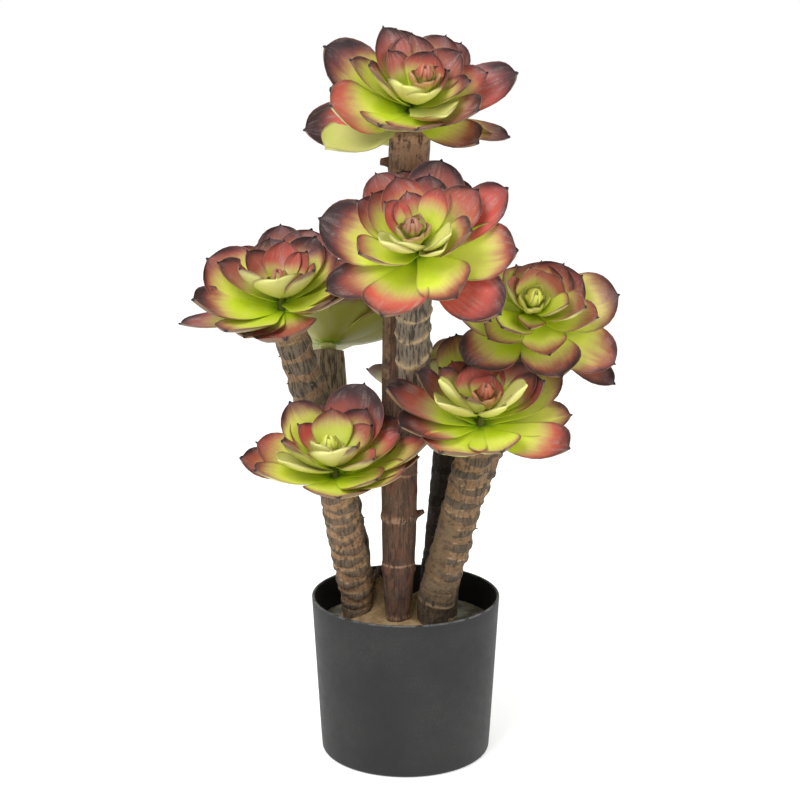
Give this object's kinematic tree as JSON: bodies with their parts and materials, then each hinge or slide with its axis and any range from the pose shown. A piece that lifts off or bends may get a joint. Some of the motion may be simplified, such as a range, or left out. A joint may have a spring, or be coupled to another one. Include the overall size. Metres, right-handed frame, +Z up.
{
  "type": "potted faux echeveria",
  "caption": "Tall artificial succulent with ringed trunks that each carry a rosette of cupped leaves, planted in a plain round pot.",
  "frame": {"origin": "centre of the pot's flat underside", "axes": "+Z up along the plant, -Y towards the viewer, +X to the viewer's right"},
  "size_m": [0.3406, 0.266, 0.5774],
  "materials": {
    "pot_plastic": "matt charcoal moulded plastic",
    "soil": "rough grey-green foam filler",
    "clay": "rough light brown set clay",
    "bark": "matt moulded bark",
    "leaf": "satin soft leaf, lime green with red edges"
  },
  "bodies": {
    "root": {"pot": "pot_plastic", "soil": "soil", "clay_mound": "clay", "trunk_tall": "bark", "trunk_low_left": "bark", "trunk_left": "bark", "trunk_low_right": "bark", "trunk_right": "bark", "trunk_rear_right": "bark", "branch_middle": "bark", "branch_rear_left": "bark", "head_top": "leaf", "head_middle": "leaf", "head_left": "leaf", "head_low_left": "leaf", "head_low_right": "leaf", "head_right": "leaf", "head_rear_left": "leaf", "head_rear_right": "leaf"}
  },
  "joints": []
}
